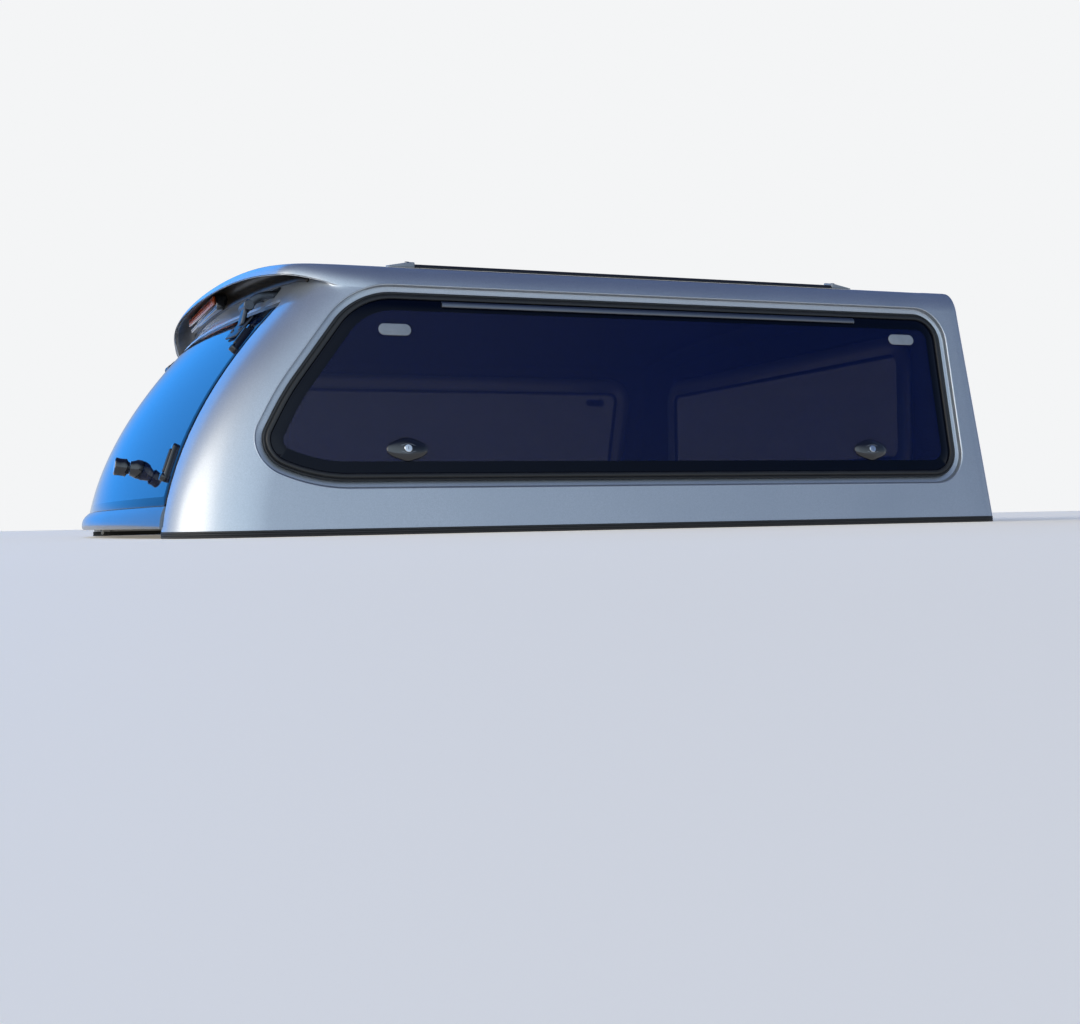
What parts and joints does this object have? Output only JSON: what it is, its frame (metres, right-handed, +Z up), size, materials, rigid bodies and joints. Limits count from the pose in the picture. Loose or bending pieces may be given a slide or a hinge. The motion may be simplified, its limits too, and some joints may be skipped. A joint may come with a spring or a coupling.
{
  "type": "pickup truck canopy",
  "caption": "Moulded canopy for a pickup tub with tinted side windows, a lift-up curved glass rear door with a turning handle under a roof visor, and low roof tracks.",
  "frame": {"origin": "middle of the footprint, at the underside of the base seal, which lies on the tub rails", "axes": "+Y towards the cab, +X to the vehicle's right side, which is the side with the door handle, +Z up"},
  "size_m": [1.838, 1.8083, 0.5602],
  "materials": {
    "paint": "metallic blue-grey paint under clear coat on glass-fibre moulding",
    "tinted_glass": "dark blue privacy tint, polished",
    "rubber": "matt black",
    "black_plastic": "satin black",
    "aluminium": "anodised, satin",
    "grey_plastic": "satin grey",
    "hinge_steel": "zinc plated",
    "lens": "clear red, polished"
  },
  "bodies": {
    "canopy": {"shell": "paint", "visor_liner": "black_plastic", "brake_light_housing": "black_plastic", "brake_light_lens": "lens", "base_seal_left": "rubber", "base_seal_right": "rubber", "base_seal_front": "rubber", "window_seal_left": "rubber", "window_seal_right": "rubber", "window_glass_left": "tinted_glass", "window_glass_right": "tinted_glass", "window_hinge_left": "aluminium", "window_hinge_right": "aluminium", "strut_pad_rear_left": "grey_plastic", "strut_pad_rear_right": "grey_plastic", "strut_pad_front_left": "grey_plastic", "strut_pad_front_right": "grey_plastic", "window_lock_rear_left": "black_plastic", "window_lock_rear_right": "black_plastic", "window_lock_front_left": "black_plastic", "window_lock_front_right": "black_plastic", "front_window_seal": "rubber", "front_window_glass": "tinted_glass", "roof_track_left": "black_plastic", "roof_track_right": "black_plastic", "track_cap_rear_left": "grey_plastic", "track_cap_rear_right": "grey_plastic", "track_cap_front_left": "grey_plastic", "track_cap_front_right": "grey_plastic", "hinge_bracket_left": "hinge_steel", "hinge_bracket_right": "hinge_steel", "doorway_seal": "rubber"},
    "rear_door": {"rear_glass": "tinted_glass", "door_garnish": "paint", "hinge_arm_left": "hinge_steel", "hinge_arm_right": "hinge_steel", "upper_cover_left": "black_plastic", "upper_cover_right": "black_plastic", "lower_cover_left": "black_plastic", "lower_cover_right": "black_plastic", "handle_base": "black_plastic"},
    "handle": {"door_handle": "black_plastic"}
  },
  "joints": [
    {"name": "rear_door_hinge", "type": "hinge", "parent": "canopy", "child": "rear_door", "pos_m": [0, -0.636, 0.45], "axis": [-1, 0, 0], "range_deg": [0, 70]},
    {"name": "door_handle_turn", "type": "hinge", "parent": "rear_door", "child": "handle", "pos_m": [0.50035, -0.833, 0.135], "axis": [0, -0.9903, 0.1392], "range_deg": [0, 90]}
  ]
}
